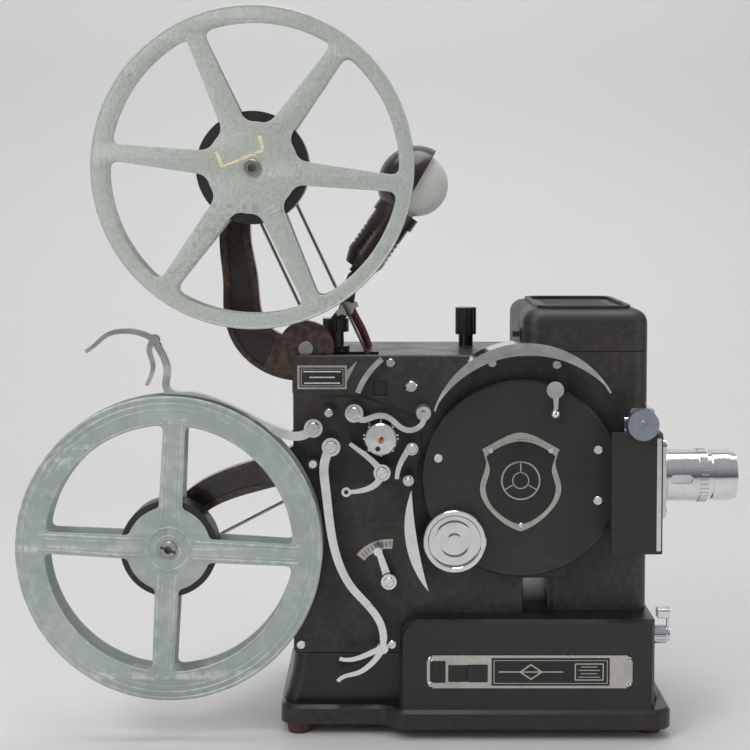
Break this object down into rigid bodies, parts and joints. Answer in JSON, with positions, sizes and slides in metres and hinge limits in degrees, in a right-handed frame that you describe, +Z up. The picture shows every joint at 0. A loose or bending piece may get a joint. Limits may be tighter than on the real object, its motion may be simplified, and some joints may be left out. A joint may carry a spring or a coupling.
{
  "type": "film projector",
  "caption": "Vintage self-threading film projector with two spoked reels on arms, belt drive, sprocket and film guides, round shutter housing, lens, lamphouse and pilot lamp.",
  "frame": {"origin": "on the floor, below the middle of the base's length, in the plane of the film", "axes": "+X the way the lens points, +Y from the working side into the machine, +Z up"},
  "size_m": [0.417, 0.163, 0.4269],
  "materials": {
    "black_lacquer": "satin black stoved enamel",
    "arm_lacquer": "worn glossy black lacquer over brown",
    "grey_enamel": "satin dark grey enamel",
    "chrome": "polished chrome",
    "nickel": "pale nickel plate",
    "steel": "ground steel",
    "blued_steel": "brushed blued steel",
    "hammertone": "pale green-grey hammertone",
    "reel_enamel": "blue-grey enamel",
    "film": "dark film edge",
    "rubber": "brown rubber",
    "leatherette": "black grained leatherette",
    "glass": "clear optical glass",
    "frosted_glass": "frosted white glass",
    "bakelite": "brown-black moulded phenolic",
    "black_plastic": "black moulded phenolic",
    "belt": "blackened coiled spring wire",
    "cord": "reddish brown rubber",
    "brass": "brass",
    "motor": "black motor housing"
  },
  "bodies": {
    "machine": {"base_casting": "black_lacquer", "rubber_feet": "rubber", "engraved_plates": "nickel", "gear_case": "black_lacquer", "front_plate": "grey_enamel", "bearing_plates": "steel", "arm_pins": "steel", "machine_screws": "chrome", "sprocket_bracket": "chrome", "film_guides": "chrome", "shutter_cover": "grey_enamel", "lens_holder": "leatherette", "lens_fittings": "chrome", "lamphouse_body": "grey_enamel", "lamp_fittings": "steel", "projection_lamp": "glass", "pilot_foot": "black_plastic", "motor_body": "motor", "upper_belt": "belt", "lower_belt": "belt", "pilot_cord": "cord"},
    "supply_arm": {"upper_arm": "arm_lacquer"},
    "takeup_arm": {"lower_arm": "arm_lacquer"},
    "supply_reel": {"supply_front_flange": "hammertone", "supply_rear_flange": "hammertone", "supply_film_roll": "film", "supply_spindle": "steel"},
    "takeup_reel": {"takeup_front_flange": "reel_enamel", "takeup_rear_flange": "reel_enamel", "takeup_film_roll": "film", "takeup_spindle": "steel"},
    "upper_threader": {"upper_thread_arm": "chrome"},
    "upper_threader_claw": {"upper_claw": "chrome"},
    "lower_threader": {"lower_thread_arm": "chrome"},
    "lower_threader_claw": {"lower_claw": "chrome"},
    "inching": {"inching_shaft": "steel", "inching_knob": "chrome"},
    "shutter": {"shutter_shaft": "steel", "shutter_blades": "steel"},
    "sprocket": {"sprocket_shaft": "steel", "film_sprocket": "chrome"},
    "rotor": {"motor_rotor": "steel"},
    "entry_clamp": {"upper_clamp": "chrome"},
    "entry_clamp_roller": {"clamp_roller": "chrome"},
    "exit_clamp": {"lower_clamp": "chrome"},
    "idler_upper": {"upper_roller": "black_plastic"},
    "idler_lower": {"lower_roller": "black_plastic"},
    "framing": {"framing_lever": "chrome"},
    "latch": {"cover_latch": "chrome"},
    "lens": {"lens_barrel": "chrome", "lens_glass": "glass"},
    "focus": {"focus_knob": "blued_steel"},
    "lid": {"lamphouse_lid": "grey_enamel"},
    "pilot_lamp": {"pilot_stem": "bakelite", "pilot_bulb": "frosted_glass"},
    "pilot_hood": {"pilot_shade": "bakelite"},
    "pilot_clamp": {"pilot_thumbscrew": "nickel"},
    "speed": {"speed_knob": "black_plastic"},
    "switch": {"switch_slider": "black_plastic"},
    "side": {"side_lever": "chrome"}
  },
  "joints": [
    {"name": "upper_arm_fold", "type": "hinge", "parent": "machine", "child": "supply_arm", "pos_m": [-0.1001, 0.0225, 0.228], "axis": [0, 1, 0], "range_deg": [0, 24], "deforming": ["upper_belt"]},
    {"name": "lower_arm_raise", "type": "hinge", "parent": "machine", "child": "takeup_arm", "pos_m": [-0.0976, 0.0225, 0.1632], "axis": [0, 1, 0], "range_deg": [0, 8], "deforming": ["lower_belt"]},
    {"name": "supply_reel_spin", "type": "hinge", "parent": "supply_arm", "child": "supply_reel", "pos_m": [-0.129, 0, 0.3343], "axis": [0, -1, 0], "continuous": true},
    {"name": "takeup_reel_spin", "type": "hinge", "parent": "takeup_arm", "child": "takeup_reel", "pos_m": [-0.1784, 0, 0.1142], "axis": [0, -1, 0], "continuous": true},
    {"name": "upper_threader_swing", "type": "hinge", "parent": "machine", "child": "upper_threader", "pos_m": [-0.0948, 0, 0.1836], "axis": [0, -1, 0], "range_deg": [0, 26]},
    {"name": "upper_claw_turn", "type": "hinge", "parent": "upper_threader", "child": "upper_threader_claw", "pos_m": [-0.1866, 0, 0.235], "axis": [0, -1, 0], "range_deg": [-14, 7]},
    {"name": "lower_threader_swing", "type": "hinge", "parent": "machine", "child": "lower_threader", "pos_m": [-0.0845, 0, 0.1726], "axis": [0, 1, 0], "range_deg": [0, 38]},
    {"name": "lower_claw_turn", "type": "hinge", "parent": "lower_threader", "child": "lower_threader_claw", "pos_m": [-0.0546, 0, 0.054], "axis": [0, -1, 0], "range_deg": [-12, 20]},
    {"name": "inching_spin", "type": "hinge", "parent": "machine", "child": "inching", "pos_m": [-0.0127, 0, 0.1176], "axis": [0, -1, 0], "continuous": true},
    {"name": "shutter_spin", "type": "hinge", "parent": "machine", "child": "shutter", "pos_m": [0.0265, 0, 0.1527], "axis": [0, -1, 0], "continuous": true},
    {"name": "sprocket_spin", "type": "hinge", "parent": "machine", "child": "sprocket", "pos_m": [-0.0556, 0, 0.1782], "axis": [0, -1, 0], "continuous": true},
    {"name": "motor_spin", "type": "hinge", "parent": "machine", "child": "rotor", "pos_m": [-0.0632, 0.08, 0.0992], "axis": [0, -1, 0], "continuous": true},
    {"name": "entry_clamp_lift", "type": "hinge", "parent": "machine", "child": "entry_clamp", "pos_m": [-0.071, 0, 0.193], "axis": [0, -1, 0], "range_deg": [0, 22]},
    {"name": "clamp_roller_spin", "type": "hinge", "parent": "entry_clamp", "child": "entry_clamp_roller", "pos_m": [-0.0308, 0, 0.1924], "axis": [0, -1, 0], "continuous": true},
    {"name": "exit_clamp_drop", "type": "hinge", "parent": "machine", "child": "exit_clamp", "pos_m": [-0.0549, 0, 0.1584], "axis": [0, -1, 0], "range_deg": [0, 16]},
    {"name": "upper_roller_spin", "type": "hinge", "parent": "machine", "child": "idler_upper", "pos_m": [-0.0856, 0, 0.1934], "axis": [0, -1, 0], "continuous": true},
    {"name": "lower_roller_spin", "type": "hinge", "parent": "machine", "child": "idler_lower", "pos_m": [-0.0954, 0, 0.1614], "axis": [0, -1, 0], "continuous": true},
    {"name": "framing_turn", "type": "hinge", "parent": "machine", "child": "framing", "pos_m": [-0.0509, 0, 0.0912], "axis": [0, -1, 0], "range_deg": [-25, 33]},
    {"name": "latch_turn", "type": "hinge", "parent": "machine", "child": "latch", "pos_m": [0.0456, 0, 0.2058], "axis": [0, -1, 0], "range_deg": [-60, 60]},
    {"name": "focus_turn", "type": "hinge", "parent": "machine", "child": "focus", "pos_m": [0.0938, 0, 0.1881], "axis": [0, -1, 0], "range_deg": [0, 114.59]},
    {"name": "lens_slide", "type": "slide", "parent": "machine", "child": "lens", "axis": [1, 0, 0], "range_m": [0, 0.008]},
    {"name": "lid_open", "type": "hinge", "parent": "machine", "child": "lid", "pos_m": [0.1066, 0.078, 0.226], "axis": [0, 1, 0], "range_deg": [0, 95]},
    {"name": "pilot_tilt", "type": "hinge", "parent": "machine", "child": "pilot_lamp", "pos_m": [-0.076, 0.046, 0.2505], "axis": [0, 1, 0], "range_deg": [0, 30], "deforming": ["pilot_cord"]},
    {"name": "pilot_shade_turn", "type": "hinge", "parent": "pilot_lamp", "child": "pilot_hood", "pos_m": [-0.0341, 0.046, 0.3251], "axis": [0.5733, 0, 0.8193], "range_deg": [-40, 40]},
    {"name": "pilot_thumbscrew_turn", "type": "hinge", "parent": "pilot_lamp", "child": "pilot_clamp", "pos_m": [-0.076, 0.046, 0.2505], "axis": [0, -1, 0], "range_deg": [-90, 90]},
    {"name": "speed_turn", "type": "hinge", "parent": "machine", "child": "speed", "pos_m": [-0.0023, 0.08, 0.23], "axis": [0, 0, 1], "range_deg": [-135, 135]},
    {"name": "switch_slide", "type": "slide", "parent": "machine", "child": "switch", "axis": [-1, 0, 0], "range_m": [0, 0.0113]},
    {"name": "side_lever_turn", "type": "hinge", "parent": "machine", "child": "side", "pos_m": [0.105, 0.009, 0.0594], "axis": [1, 0, 0], "range_deg": [-35, 35]}
  ],
  "couplings": [
    {"joint": "shutter_spin", "follows": "inching_spin", "ratio": -8},
    {"joint": "sprocket_spin", "follows": "inching_spin", "ratio": -1},
    {"joint": "motor_spin", "follows": "inching_spin", "ratio": -6.6667}
  ]
}
